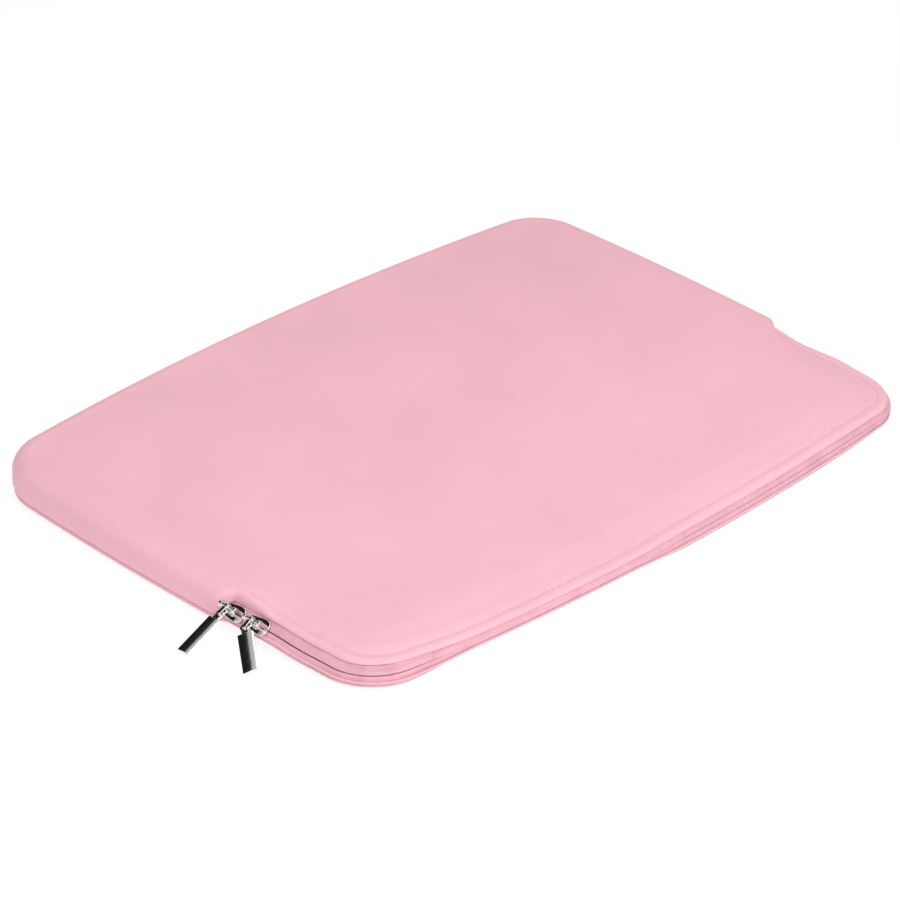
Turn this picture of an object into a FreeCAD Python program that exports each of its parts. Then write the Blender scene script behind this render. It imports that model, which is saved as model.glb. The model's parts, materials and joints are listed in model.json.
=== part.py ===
import FreeCAD, Part

import math
import os

from FreeCAD import Vector

# Padded laptop sleeve lying flat, millimetres, +Z up.
# Origin: centre of the bottom resting face. +X along the length, +Y towards the closed spine.
# The zip runs along the whole front (-Y) side, round both front corners and up part of the short sides.

# ---- overall shape -------------------------------------------------------------------------
LENGTH = 345.0                # outside, along X
WIDTH = 250.0                 # outside, along Y
LONG_SIDE_BOW = 11.0          # how far the long sides bulge between the corners
SHORT_SIDE_BOW = 5.0          # the same for the short sides
CORNER_RADIUS = 27.0
FRONT_HEIGHT = 12.6           # top surface above the floor at the front
SPINE_HEIGHT = 18.0           # and at the spine
ZIP_END_Y = -28.0             # the zip ends here on both short sides
FOLD_Y = -66.0                # fold line of the front flap, past the second slider
FOLD_GAP = 0.1                # space between the flap and the rear part of the top
LAYER_GAP = 0.05              # space between two layers of the wall

# ---- wall layers ---------------------------------------------------------------------------
COVER = 1.0
FOAM = 2.0
LINING = 0.7
BOTTOM_COVER = 1.1
TOP_ROUND = 6.0               # rounding of the closed top edge
LIP_ROUND = 2.6               # rounding of the lip above the zip
LIP_INSET = 7.0               # the lip above the zip stands this far inside the outline
LIP_BASE_Z = 9.0              # lowest point of the upper lip
SEAM_Z = 4.3                  # seam between top and bottom on the closed sides
BOTTOM_INNER_INSET = 7.3      # edge of the bottom foam and lining

# ---- zip, in a band that leans back from the vertical ---------------------------------------
BAND_NORMAL_UP = math.radians(50.0)   # the band's outward normal above the horizontal
BAND_INSET = 3.4              # centre line of the chain, inside the outline
BAND_Z = 6.3                  # and above the floor
TAPE = 0.6
TAPE_HALF = 4.15              # tape edge from the chain's centre line
CHAIN_GAP = 0.9               # half the space between the two rows
COIL_OUT = 2.6                # far side of a coil row from the centre line
COIL_DEPTH = 1.5
BINDING_WIDTH = 1.2           # the tape that binds the seam inside the upper lip
BINDING_DEPTH = 1.4           # its outer face, in from the zip tape's outer face

# ---- sliders ---------------------------------------------------------------------------------
SLIDER_A_Y = -37.7
SLIDER_B_Y = -51.7
SLIDER_B_TRAVEL = 24.0
SLIDER_HALF_LENGTH = 5.5
SLIDER_HALF_WIDTH = 3.6
WING = 1.2
WING_CLEARANCE = 0.35
POST_HALF = 0.5
CROWN_HEIGHT = 7.0            # axis of the crown's bar above the tape
CROWN_BAR_RADIUS = 0.72
CROWN_LEG = 3.9               # centre of a crown leg from the slider's middle
LINK_BORE = 0.80
LINK_RADIUS = 1.4
LINK_HALF = 0.9
LINK_LENGTH = 4.6             # crown bar to pull pin
LINK_PIN_RADIUS = 0.6
ARM_INNER = 0.8
ARM_OUTER = 1.45
PULL_LENGTH = 22.4            # pull pin to tip
PULL_HALF_WIDTH = 3.5
PULL_HALF_THICKNESS = 0.8
PULL_START = 2.7
EYE_RADIUS = 1.9
EYE_BORE = 0.68
EYE_HALF = 0.6
PULL_B_TURN = math.radians(48.0)      # how far pull B is turned towards the front

UP = Vector(0, 0, 1)
ORIGIN = Vector(0, 0, 0)
FAR = 400.0


# ---- outline: eight tangent arcs, so that an inset only changes the radii ---------------------
def circle_meeting(centre_1, radius_1, centre_2, radius_2):
    """The meeting point of two circles in the first quadrant."""
    apart = centre_2 - centre_1
    distance = apart.Length
    along = (radius_1 ** 2 - radius_2 ** 2 + distance ** 2) / (2 * distance)
    across = math.sqrt(radius_1 ** 2 - along ** 2)
    unit = apart / distance
    normal = Vector(-unit.y, unit.x, 0)
    middle = centre_1 + unit * along
    return max((middle + normal * across, middle - normal * across), key=lambda p: p.x + p.y)


HALF_X = LENGTH / 2
HALF_Y = WIDTH / 2
LONG_RADIUS = (HALF_X ** 2 + LONG_SIDE_BOW ** 2) / (2 * LONG_SIDE_BOW)
SHORT_RADIUS = (HALF_Y ** 2 + SHORT_SIDE_BOW ** 2) / (2 * SHORT_SIDE_BOW)
LONG_CENTRE = Vector(0, HALF_Y - LONG_RADIUS, 0)
SHORT_CENTRE = Vector(HALF_X - SHORT_RADIUS, 0, 0)
CORNER_CENTRE = circle_meeting(LONG_CENTRE, LONG_RADIUS - CORNER_RADIUS,
                               SHORT_CENTRE, SHORT_RADIUS - CORNER_RADIUS)


def heading(point, centre):
    return math.atan2(point.y - centre.y, point.x - centre.x)


LONG_ANGLE = heading(CORNER_CENTRE, LONG_CENTRE)      # where the long arc meets the corner arc
SHORT_ANGLE = heading(CORNER_CENTRE, SHORT_CENTRE)    # where the short arc meets it


def arcs():
    """Every arc of the outline as (centre, radius, start angle, end angle), anticlockwise."""
    right = (SHORT_CENTRE, SHORT_RADIUS, -SHORT_ANGLE, SHORT_ANGLE)
    back = (LONG_CENTRE, LONG_RADIUS, LONG_ANGLE, math.pi - LONG_ANGLE)
    corner = (CORNER_CENTRE, CORNER_RADIUS, SHORT_ANGLE, LONG_ANGLE)
    second = Vector(-CORNER_CENTRE.x, CORNER_CENTRE.y, 0)
    other_corner = (second, CORNER_RADIUS, math.pi - LONG_ANGLE, math.pi - SHORT_ANGLE)
    half = [right, corner, back, other_corner]
    turned = [(centre * -1, radius, start + math.pi, end + math.pi)
              for centre, radius, start, end in half]
    return half + turned


def polar(centre, radius, angle, z=0.0):
    return Vector(centre.x + radius * math.cos(angle), centre.y + radius * math.sin(angle), z)


def outline_face(inset, z):
    edges = []
    for centre, radius, start, end in arcs():
        points = [polar(centre, radius - inset, a, z) for a in (start, (start + end) / 2, end)]
        edges.append(Part.Arc(*points).toShape())
    return Part.Face(Part.Wire(edges))


def plate(inset, z_low, z_high):
    return outline_face(inset, z_low).extrude(Vector(0, 0, z_high - z_low))


def ring(profile):
    """A closed profile of (inset, z) points, carried round the whole outline."""
    result = None
    for centre, radius, start, end in arcs():
        points = [polar(centre, radius - inset, start, z) for inset, z in profile]
        face = Part.Face(Part.makePolygon(points + points[:1]))
        piece = face.revolve(centre, UP, math.degrees(end - start))
        result = piece if result is None else result.fuse(piece)
    return result.removeSplitter()


def rows_between(y_low, y_high):
    return Part.makeBox(2 * FAR, y_high - y_low, 2 * FAR, Vector(-FAR, y_low, -FAR))


def keep(shape, y_low, y_high):
    return shape.common(rows_between(y_low, y_high))


def side_of(shape, sign):
    low = 0 if sign > 0 else -FAR
    return shape.common(Part.makeBox(FAR, 2 * FAR, 2 * FAR, Vector(low, -FAR, -FAR)))


# ---- the sloping top ---------------------------------------------------------------------------
def top_z(y):
    return FRONT_HEIGHT + (SPINE_HEIGHT - FRONT_HEIGHT) * (y + HALF_Y) / WIDTH


def above_top(drop):
    """Everything above the top surface lowered by drop."""
    corners = [(-FAR, top_z(-FAR) - drop), (FAR, top_z(FAR) - drop), (FAR, FAR), (-FAR, FAR)]
    points = [Vector(-FAR, y, z) for y, z in corners]
    return Part.Face(Part.makePolygon(points + points[:1])).extrude(Vector(2 * FAR, 0, 0))


def form(inset, drop, z_low, rounding):
    """A block with the sleeve's outline, its top cut to the slope and its top edge rounded."""
    block = plate(inset, z_low, SPINE_HEIGHT + 10).cut(above_top(drop))
    top = max(block.Faces, key=lambda f: f.CenterOfMass.z)
    return block.makeFillet(rounding, top.Edges)


def slab(inset, drop_outer, drop_inner, z_low):
    """A flat layer under the top surface, between two drops."""
    return plate(inset, z_low, SPINE_HEIGHT + 10).cut(above_top(drop_outer)).common(
        above_top(drop_inner))


# ---- the zip's band: w runs up the band from the chain's centre line, s out of it ---------------
def on_band(w, s):
    inset = BAND_INSET + w * math.sin(BAND_NORMAL_UP) - s * math.cos(BAND_NORMAL_UP)
    z = BAND_Z + w * math.cos(BAND_NORMAL_UP) + s * math.sin(BAND_NORMAL_UP)
    return (inset, z)


def strip(w_low, w_high, s_low, s_high):
    return ring([on_band(w_low, s_low), on_band(w_high, s_low),
                 on_band(w_high, s_high), on_band(w_low, s_high)])


# ---- bottom --------------------------------------------------------------------------------------
def bottom_cover():
    floor = [(6.5, 0.0), (2.6, 0.0), (0.1, 2.4)]
    inside = [(1.15, 2.6), (2.4, BOTTOM_COVER), (6.5, BOTTOM_COVER)]
    zipped = ring(floor + [on_band(-TAPE_HALF - LAYER_GAP, 0.5),
                           on_band(-TAPE_HALF - LAYER_GAP, -TAPE)] + inside)
    closed = ring(floor + [(0.0, SEAM_Z - LAYER_GAP), (COVER, SEAM_Z - LAYER_GAP)] + inside)
    rim = keep(zipped, -FAR, ZIP_END_Y).fuse(keep(closed, ZIP_END_Y, FAR))
    return plate(6.0, 0.0, BOTTOM_COVER).fuse(rim).removeSplitter()


def bottom_foam():
    low = BOTTOM_COVER + LAYER_GAP
    return plate(BOTTOM_INNER_INSET, low, low + FOAM)


def bottom_lining():
    low = BOTTOM_COVER + FOAM + 2 * LAYER_GAP
    return plate(BOTTOM_INNER_INSET, low, low + LINING)


# ---- top -------------------------------------------------------------------------------------------
FOAM_DROP = COVER + LAYER_GAP
LINING_DROP = FOAM_DROP + FOAM + LAYER_GAP
END_WALL = 1.0                # closes the bulge of the closed sides where the zip begins


def lip_cover():
    outer = form(LIP_INSET, 0.0, LIP_BASE_Z, LIP_ROUND)
    return outer.cut(lip_hollow())


def lip_hollow():
    return plate(LIP_INSET + COVER, 0.0, SPINE_HEIGHT + 10).cut(above_top(COVER))


def top_cover_rear():
    closed = keep(form(0.0, 0.0, SEAM_Z, TOP_ROUND), ZIP_END_Y, FAR)
    hollow = keep(form(COVER, COVER, 0.0, TOP_ROUND - COVER), ZIP_END_Y + END_WALL, FAR)
    closed = closed.cut(hollow).cut(lip_hollow())
    return closed.fuse(keep(lip_cover(), FOLD_Y, ZIP_END_Y)).removeSplitter()


def rear_layer(drop, thickness):
    """A foam or lining layer of the rear part, which also lines the closed sides."""
    start = ZIP_END_Y + END_WALL + LAYER_GAP
    outer = form(drop, drop, SEAM_Z, max(TOP_ROUND - drop, 1.0))
    inner = form(drop + thickness, drop + thickness, 0.0, max(TOP_ROUND - drop - thickness, 0.6))
    wrap = keep(outer.cut(inner), start, FAR)
    tongue = keep(slab(LIP_INSET + COVER + 0.3, drop, drop + thickness, 0.0), FOLD_Y, start + 1)
    return wrap.fuse(tongue).removeSplitter()


def flap_layer(shape):
    return keep(shape, -FAR, FOLD_Y - FOLD_GAP)


# ---- slider, in its own frame: X out of the band, Y along the travel to the front, Z up the band ----
def box(x_low, x_high, y_low, y_high, z_low, z_high):
    size = (x_high - x_low, y_high - y_low, z_high - z_low)
    return Part.makeBox(*size, Vector(x_low, y_low, z_low))


def wing(x_low, x_high):
    """A slider plate, broad at the front shoulders and narrower at the rear."""
    half = SLIDER_HALF_WIDTH
    end = SLIDER_HALF_LENGTH
    points = [(-end, -0.72 * half), (0.2 * end, -half), (0.8 * end, -half), (end, -0.55 * half)]
    points += [(y, -z) for y, z in reversed(points)]
    corners = [Vector(x_low, y, z) for y, z in points]
    solid = Part.Face(Part.makePolygon(corners + corners[:1])).extrude(Vector(x_high - x_low, 0, 0))
    return solid


def slider_body():
    outer = wing(WING_CLEARANCE, WING_CLEARANCE + WING)
    outer_rim = [e for e in outer.Edges if all(v.X > WING_CLEARANCE + 0.1 for v in e.Vertexes)]
    outer = outer.makeFillet(0.45, outer_rim)
    inner_top = -TAPE - COIL_DEPTH - WING_CLEARANCE
    inner = wing(inner_top - 0.7, inner_top)
    post = box(inner_top - 0.2, WING_CLEARANCE + 0.2, 1.0, 0.8 * SLIDER_HALF_LENGTH,
               -POST_HALF, POST_HALF)
    body = outer.fuse(inner).fuse(post)
    for sign in (-1, 1):
        low, high = sorted((sign * (SLIDER_HALF_WIDTH - 0.65), sign * SLIDER_HALF_WIDTH))
        body = body.fuse(box(inner_top - 0.2, -TAPE - WING_CLEARANCE, 0.2 * SLIDER_HALF_LENGTH,
                             0.8 * SLIDER_HALF_LENGTH, low, high))
    return body.removeSplitter()


def slider_crown():
    base = WING_CLEARANCE + WING + 0.02
    bar = Part.makeCylinder(CROWN_BAR_RADIUS, 2 * CROWN_LEG, Vector(CROWN_HEIGHT, -CROWN_LEG, 0),
                            Vector(0, 1, 0))
    crown = bar
    for sign in (-1, 1):
        y = sign * CROWN_LEG
        leg = box(base, CROWN_HEIGHT + CROWN_BAR_RADIUS, y - 0.8, y + 0.8, -1.3, 1.3)
        edges = [e for e in leg.Edges if all(v.X > base + 1 for v in e.Vertexes)]
        crown = crown.fuse(leg.makeFillet(0.6, edges))
    return crown.removeSplitter()


def lock_spring():
    base = WING_CLEARANCE + WING + 0.02
    strip_shape = box(base, base + 0.5, -2.9, 2.9, -1.1, 1.1)
    hump = box(base + 0.4, base + 1.2, -0.9, 0.9, -1.1, 1.1)
    return strip_shape.fuse(hump).removeSplitter()


# ---- link and pull, each in a frame with X along its length and Z out of its flat face ---------------
def pull_link():
    knuckle = Part.makeCylinder(LINK_RADIUS, 2 * LINK_HALF, Vector(0, -LINK_HALF, 0),
                                Vector(0, 1, 0))
    link = knuckle
    reach = LINK_LENGTH + 0.8
    for sign in (-1, 1):
        low, high = sorted((sign * ARM_INNER, sign * ARM_OUTER))
        link = link.fuse(box(0.0, reach, -LINK_HALF, LINK_HALF, low, high))
    pin = Part.makeCylinder(LINK_PIN_RADIUS, 2 * ARM_INNER + 0.4,
                            Vector(LINK_LENGTH, 0, -ARM_INNER - 0.2), UP)
    bore = Part.makeCylinder(LINK_BORE, 4 * LINK_HALF, Vector(0, -2 * LINK_HALF, 0),
                             Vector(0, 1, 0))
    return link.fuse(pin).cut(bore).removeSplitter()


def pull():
    eye = Part.makeCylinder(EYE_RADIUS, 2 * EYE_HALF, Vector(0, 0, -EYE_HALF), UP)
    neck = box(0.5, PULL_START + 0.5, -1.5, 1.5, -EYE_HALF, EYE_HALF)
    bar = box(PULL_START, PULL_LENGTH, -PULL_HALF_WIDTH, PULL_HALF_WIDTH,
              -PULL_HALF_THICKNESS, PULL_HALF_THICKNESS)
    bar = bar.makeChamfer(0.25, bar.Edges)
    hole = Part.makeCylinder(EYE_BORE, 4, Vector(0, 0, -2), UP)
    return bar.fuse(neck).fuse(eye).cut(hole).removeSplitter()


# ---- places of the sliders, links and pulls -----------------------------------------------------------
def frame_matrix(origin, x_axis, y_axis, z_axis):
    columns = (x_axis, y_axis, z_axis, origin)
    rows = []
    for pick in ("x", "y", "z"):
        rows += [getattr(column, pick) for column in columns]
    return FreeCAD.Matrix(*rows, 0, 0, 0, 1)


class Station:
    """One slider's place on the left short side, and the frames of what hangs on it."""

    def __init__(self, start_y, middle_y, turn):
        lean = math.asin(-middle_y / SHORT_RADIUS)
        outward = Vector(-math.cos(lean), -math.sin(lean), 0)
        self.travel = Vector(math.sin(lean), -math.cos(lean), 0)
        centre = Vector(-SHORT_CENTRE.x, 0, 0)
        middle = centre + outward * (SHORT_RADIUS - BAND_INSET)
        self.point = middle + self.travel * ((middle_y - start_y) / math.cos(lean))
        self.point.z = BAND_Z
        self.normal = outward * math.cos(BAND_NORMAL_UP) + UP * math.sin(BAND_NORMAL_UP)
        up_band = UP * math.cos(BAND_NORMAL_UP) - outward * math.sin(BAND_NORMAL_UP)
        self.slider = frame_matrix(self.point, self.normal, self.travel, up_band)
        self.bar = self.point + self.normal * CROWN_HEIGHT
        fall = self.resting_fall(turn)
        along = outward * math.cos(fall) - UP * math.sin(fall)
        self.face = along.cross(self.travel)
        self.link = frame_matrix(self.bar, along, self.travel, self.face)
        self.pin = self.bar + along * LINK_LENGTH
        turned_x = along * math.cos(turn) + self.travel * math.sin(turn)
        turned_y = self.travel * math.cos(turn) - along * math.sin(turn)
        self.pull = frame_matrix(self.pin, turned_x, turned_y, self.face)

    def resting_fall(self, turn):
        """The angle below the horizontal at which the pull's lowest corner meets the floor."""
        reach = LINK_LENGTH + PULL_LENGTH * math.cos(turn) + PULL_HALF_WIDTH * math.sin(turn)
        height = self.bar.z - PULL_HALF_THICKNESS * 0.9
        return math.asin(height / reach)


def placed(shape, matrix):
    moved = shape.copy()
    moved.Placement = FreeCAD.Placement(matrix)
    return moved


SLIDERS = {
    "a": Station(SLIDER_A_Y, SLIDER_A_Y, 0.0),
    "b": Station(SLIDER_B_Y, SLIDER_B_Y - SLIDER_B_TRAVEL / 2, PULL_B_TURN),
}


# ---- every piece ---------------------------------------------------------------------------------------
def end_stop(sign):
    """The metal clamp that closes the chain's end, wrapped round both rows inside the band."""
    y_centre = ZIP_END_Y - 2.0
    lean = math.asin(-y_centre / SHORT_RADIUS)
    outward = Vector(-math.cos(lean), -math.sin(lean), 0)
    travel = Vector(math.sin(lean), -math.cos(lean), 0)
    point = Vector(-SHORT_CENTRE.x, 0, 0) + outward * (SHORT_RADIUS - BAND_INSET)
    point.z = BAND_Z
    normal = outward * math.cos(BAND_NORMAL_UP) + UP * math.sin(BAND_NORMAL_UP)
    up_band = UP * math.cos(BAND_NORMAL_UP) - outward * math.sin(BAND_NORMAL_UP)
    inner = -TAPE - COIL_DEPTH - 0.05
    clamp = box(inner - 0.5, 0.55, -0.9, 0.9, -CHAIN_GAP + 0.1, CHAIN_GAP - 0.1)
    clamp = clamp.fuse(box(0.05, 0.55, -0.9, 0.9, -2.4, 2.4))
    clamp = clamp.fuse(box(inner - 0.5, inner, -0.9, 0.9, -2.4, 2.4))
    clamp = placed(clamp, frame_matrix(point, normal, travel, up_band))
    return clamp if sign < 0 else clamp.mirror(ORIGIN, Vector(1, 0, 0))


def pieces():
    tape_low = keep(strip(-TAPE_HALF, -CHAIN_GAP, -TAPE, 0.0), -FAR, ZIP_END_Y - LAYER_GAP)
    tape_high = strip(CHAIN_GAP, TAPE_HALF + 0.3, -TAPE, 0.0)
    coil_top = -TAPE - 0.02
    coil_low = keep(strip(-COIL_OUT, -CHAIN_GAP, coil_top - COIL_DEPTH + 0.02, coil_top),
                    -FAR, ZIP_END_Y - 0.5)
    coil_high = strip(CHAIN_GAP, COIL_OUT, coil_top - COIL_DEPTH + 0.02, coil_top)
    binding = strip(TAPE_HALF, TAPE_HALF + BINDING_WIDTH, -BINDING_DEPTH - 0.55, -BINDING_DEPTH)
    side_tape = keep(tape_high, FOLD_Y, ZIP_END_Y - LAYER_GAP)
    side_coil = keep(coil_high, FOLD_Y, ZIP_END_Y - 0.5)
    found = {
        "bottom_cover": bottom_cover(),
        "bottom_foam": bottom_foam(),
        "bottom_lining": bottom_lining(),
        "zip_tape_lower": tape_low,
        "zip_coil_lower": coil_low,
        "top_cover_rear": top_cover_rear(),
        "top_foam_rear": rear_layer(FOAM_DROP, FOAM),
        "top_lining_rear": rear_layer(LINING_DROP, LINING),
        "zip_tape_upper_left": side_of(side_tape, -1),
        "zip_tape_upper_right": side_of(side_tape, 1),
        "zip_coil_upper_left": side_of(side_coil, -1),
        "zip_coil_upper_right": side_of(side_coil, 1),
        "zip_end_stop_left": end_stop(-1),
        "zip_end_stop_right": end_stop(1),
        "flap_cover": flap_layer(lip_cover()),
        "flap_foam": flap_layer(slab(LIP_INSET + COVER + 0.3, FOAM_DROP, FOAM_DROP + FOAM, 0.0)),
        "flap_lining": flap_layer(slab(LIP_INSET + COVER + 0.3, LINING_DROP,
                                       LINING_DROP + LINING, 0.0)),
        "flap_zip_tape": flap_layer(tape_high),
        "flap_zip_coil": flap_layer(coil_high),
        "flap_binding": flap_layer(binding),
    }
    for letter, station in SLIDERS.items():
        found[f"slider_{letter}_body"] = placed(slider_body(), station.slider)
        found[f"slider_{letter}_crown"] = placed(slider_crown(), station.slider)
        found[f"slider_{letter}_lock_spring"] = placed(lock_spring(), station.slider)
        found[f"pull_link_{letter}"] = placed(pull_link(), station.link)
        found[f"pull_{letter}"] = placed(pull(), station.pull)
    return found


def main():
    os.makedirs("parts", exist_ok=True)
    for name, shape in pieces().items():
        shape.exportStep(f"parts/{name}.step")
        size = shape.BoundBox
        print(name, len(shape.Solids), "solid", round(shape.Volume), "mm3,", shape.isValid(),
              [round(v, 2) for v in (size.XMin, size.XMax, size.YMin, size.YMax, size.ZMin, size.ZMax)])
    for letter, station in SLIDERS.items():
        for label in ("travel", "bar", "pin", "face"):
            print(letter, label, [round(v, 6) for v in getattr(station, label)])
    print("fold height", round(top_z(FOLD_Y), 4))


main()
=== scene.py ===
import json
import math

import bmesh
import bpy
import numpy as np
from mathutils import Matrix, Vector, noise


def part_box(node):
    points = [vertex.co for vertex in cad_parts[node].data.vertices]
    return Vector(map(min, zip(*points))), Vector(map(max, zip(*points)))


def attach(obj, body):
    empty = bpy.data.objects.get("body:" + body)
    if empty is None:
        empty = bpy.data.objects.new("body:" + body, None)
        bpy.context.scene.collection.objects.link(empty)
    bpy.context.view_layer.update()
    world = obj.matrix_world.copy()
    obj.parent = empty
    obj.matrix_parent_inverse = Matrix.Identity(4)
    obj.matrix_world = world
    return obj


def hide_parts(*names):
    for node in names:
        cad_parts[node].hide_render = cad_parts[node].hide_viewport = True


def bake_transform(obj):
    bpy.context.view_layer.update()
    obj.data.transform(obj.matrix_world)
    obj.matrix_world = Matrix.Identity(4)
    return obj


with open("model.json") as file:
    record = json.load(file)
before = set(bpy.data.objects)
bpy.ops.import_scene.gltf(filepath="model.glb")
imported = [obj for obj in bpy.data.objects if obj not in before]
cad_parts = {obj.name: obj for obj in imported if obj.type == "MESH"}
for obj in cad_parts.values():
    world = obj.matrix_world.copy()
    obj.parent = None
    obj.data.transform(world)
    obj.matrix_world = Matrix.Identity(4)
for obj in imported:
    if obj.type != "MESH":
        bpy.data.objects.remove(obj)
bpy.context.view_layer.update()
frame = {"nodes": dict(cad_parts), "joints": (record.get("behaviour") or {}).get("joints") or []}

# A padded laptop sleeve. Its lengths are millimetres, which new_mesh() and Metal.made() turn into
# metres. Materials, lights and the camera are in metres. -Y is the front, which the zip runs round.
MM = 0.001


def high_corner(name):
    """The highest corner of a CAD node's box."""
    return np.array(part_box(name)[1]) / MM


# ---- the sleeve's form, read from the frame and from its layers ----
HALF_X, HALF_Y = high_corner("bottom_cover")[:2]
ZIP_END_Y = high_corner("zip_tape_lower")[1]
LONG_SIDE_BOW = 11.0
SHORT_SIDE_BOW = 5.0
CORNER_RADIUS = 27.0
FRONT_HEIGHT = 12.6
SPINE_HEIGHT = 18.0
LAYER_GAP = 0.05
COVER = 1.0                   # thickness of each layer
FOAM = 2.0
LINING = 0.7
BOTTOM_COVER = 1.1
SEAM_Z = 2.45                 # seam between top and bottom on the closed sides
CLOSED_ROUND = 7.5            # rounding of the closed sides up to the top
LIP_ROUND = 3.2               # width of the rolled lip above the zip, up to the flat top
GROOVE_BEHIND = 4.3           # topstitching, in from the face of the lip
GROOVE_DEPTH = 0.7
GROOVE_WIDTH = 1.0
BAND_NORMAL_UP = math.radians(50.0)     # how far up the zip's band faces by the sliders
BAND_INSET = 3.4              # the chain's centre line there, in from the outline and up
BAND_Z = 6.3
TAPE = 0.6                    # thickness of the zip tape
TAPE_IN = 0.16                # edge of each tape, from the chain's centre line
TAPE_PARTED = 0.07            # the tapes stand this much further apart near the sliders
TAPE_OUT = 4.45               # the tape's other edge
LIP_FACE_UP = 0.55            # the lip's outermost line, from the hem's edge
LIP_FACE_OUT = 0.6
COIL_PITCH = 1.45
COIL_W = 0.86                 # middle of each coil row, up the band and out of it
COIL_S = -1.1
COIL_HALF_WIDTH = 0.7
COIL_HALF_DEPTH = 0.4
COIL_WIRE = 0.23              # radius of the coil's wire
STITCH_PITCH = 3.1
PUCKER_PITCH = 11.5

UP = np.array([0.0, 0.0, 1.0])


def smooth(value, low, high):
    t = np.clip((np.asarray(value, float) - low) / (high - low), 0, 1)
    return t * t * (3 - 2 * t)


def bell(value, middle, width):
    return np.exp(-((np.asarray(value, float) - middle) / width) ** 2)


def field(points, scale, seed):
    """Smooth noise from about -1 to 1 at each point; scale is the size of its lumps."""
    shift = Vector((seed * 17.3, seed * 5.1, seed * 9.7))
    return np.array([noise.noise(Vector(p) / scale + shift) for p in points])


# ---- outline: eight tangent arcs ----
class Outline:
    """Points round the sleeve's outline with their outward normals, anticlockwise, evenly spaced."""

    def __init__(self, spacing):
        long_radius = (HALF_X ** 2 + LONG_SIDE_BOW ** 2) / (2 * LONG_SIDE_BOW)
        short_radius = (HALF_Y ** 2 + SHORT_SIDE_BOW ** 2) / (2 * SHORT_SIDE_BOW)
        long_centre = np.array([0.0, HALF_Y - long_radius])
        short_centre = np.array([HALF_X - short_radius, 0.0])
        corner = self.meeting(long_centre, long_radius - CORNER_RADIUS,
                              short_centre, short_radius - CORNER_RADIUS)
        long_angle = self.heading(corner - long_centre)
        short_angle = self.heading(corner - short_centre)
        half = [(short_centre, short_radius, -short_angle, short_angle),
                (corner, CORNER_RADIUS, short_angle, long_angle),
                (long_centre, long_radius, long_angle, math.pi - long_angle),
                (corner * [-1, 1], CORNER_RADIUS, math.pi - long_angle, math.pi - short_angle)]
        turned = [(-c, r, a + math.pi, b + math.pi) for c, r, a, b in half]
        self.arcs = [(c, r, a, r * (b - a)) for c, r, a, b in half + turned]
        self.total = sum(arc[3] for arc in self.arcs)
        self.count = int(round(self.total / spacing))
        self.u = np.arange(self.count) * self.total / self.count
        self.points, self.normals = self.at(self.u)

    @staticmethod
    def heading(v):
        return math.atan2(v[1], v[0])

    @staticmethod
    def meeting(centre_1, radius_1, centre_2, radius_2):
        apart = centre_2 - centre_1
        distance = np.linalg.norm(apart)
        along = (radius_1 ** 2 - radius_2 ** 2 + distance ** 2) / (2 * distance)
        across = math.sqrt(radius_1 ** 2 - along ** 2)
        unit = apart / distance
        normal = np.array([-unit[1], unit[0]])
        middle = centre_1 + unit * along
        return max((middle + normal * across, middle - normal * across), key=sum)

    def at(self, u):
        """Points and outward normals at distances u along the outline."""
        u = np.mod(u, self.total)
        points = np.zeros((len(u), 2))
        normals = np.zeros((len(u), 2))
        start = 0.0
        for centre, radius, first_angle, length in self.arcs:
            inside = (u >= start) & (u < start + length + 1e-9)
            angle = first_angle + (u[inside] - start) / radius
            normals[inside] = np.stack([np.cos(angle), np.sin(angle)], 1)
            points[inside] = centre + radius * normals[inside]
            start += length
        return points, normals


RIM = Outline(1.9)            # for what shows from outside
COARSE = Outline(3.8)         # for the layers inside


# ---- meshes ----
def add_object(name, data):
    made = bpy.data.objects.new(name, data)
    bpy.context.scene.collection.objects.link(made)
    return made


def new_mesh(name, verts, faces, material, uv=None):
    """A smooth-shaded object from points in millimetres, its faces turned outward."""
    mesh = bpy.data.meshes.new(name)
    mesh.from_pydata((np.asarray(verts, float) * MM).tolist(), [], faces)
    if uv is not None:
        layer = mesh.uv_layers.new(name="weave")
        corners = np.zeros(len(mesh.loops), int)
        mesh.loops.foreach_get("vertex_index", corners)
        layer.data.foreach_set("uv", (np.asarray(uv, float)[corners] * MM).ravel())
    work = bmesh.new()
    work.from_mesh(mesh)
    bmesh.ops.remove_doubles(work, verts=work.verts, dist=0.004 * MM)
    bmesh.ops.recalc_face_normals(work, faces=work.faces)
    work.to_mesh(mesh)
    work.free()
    mesh.polygons.foreach_set("use_smooth", [True] * len(mesh.polygons))
    mesh.materials.append(material)
    return add_object(name, mesh)


def grid_faces(rows, count, base=0, round_rows=False, round_columns=False):
    """Quads of a grid whose row r, column k is vertex base + r * count + k."""
    faces = []
    for r in range(rows if round_rows else rows - 1):
        low = base + r * count
        high = base + (r + 1) % rows * count
        for k in range(count if round_columns else count - 1):
            following = (k + 1) % count
            faces.append((low + k, low + following, high + following, high + k))
    return faces


def edge_rings(outline, profile, level):
    """The edge's rings and the inset of each of their points, from profile(band, k, level)."""
    band = Band(outline.points)
    profiles = np.array([profile(band, k, level) for k in range(outline.count)]).transpose(2, 1, 0)
    insets = profiles[0]
    return raised(outline.points - insets[:, :, None] * outline.normals, profiles[1]), insets, band


class Sheet:
    """Rings of points round the outline, closed in the middle by one point."""

    def __init__(self, rings, middle):
        self.rings = rings
        self.middle = middle
        self.rows, self.count = rings.shape[:2]

    def verts(self):
        return np.concatenate([self.rings.reshape(-1, 3), self.middle.reshape(1, 3)])

    def faces(self, base):
        last = base + (self.rows - 1) * self.count
        middle = base + self.rows * self.count
        fan = [(last + k, last + (k + 1) % self.count, middle) for k in range(self.count)]
        return grid_faces(self.rows, self.count, base, round_columns=True) + fan


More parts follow.
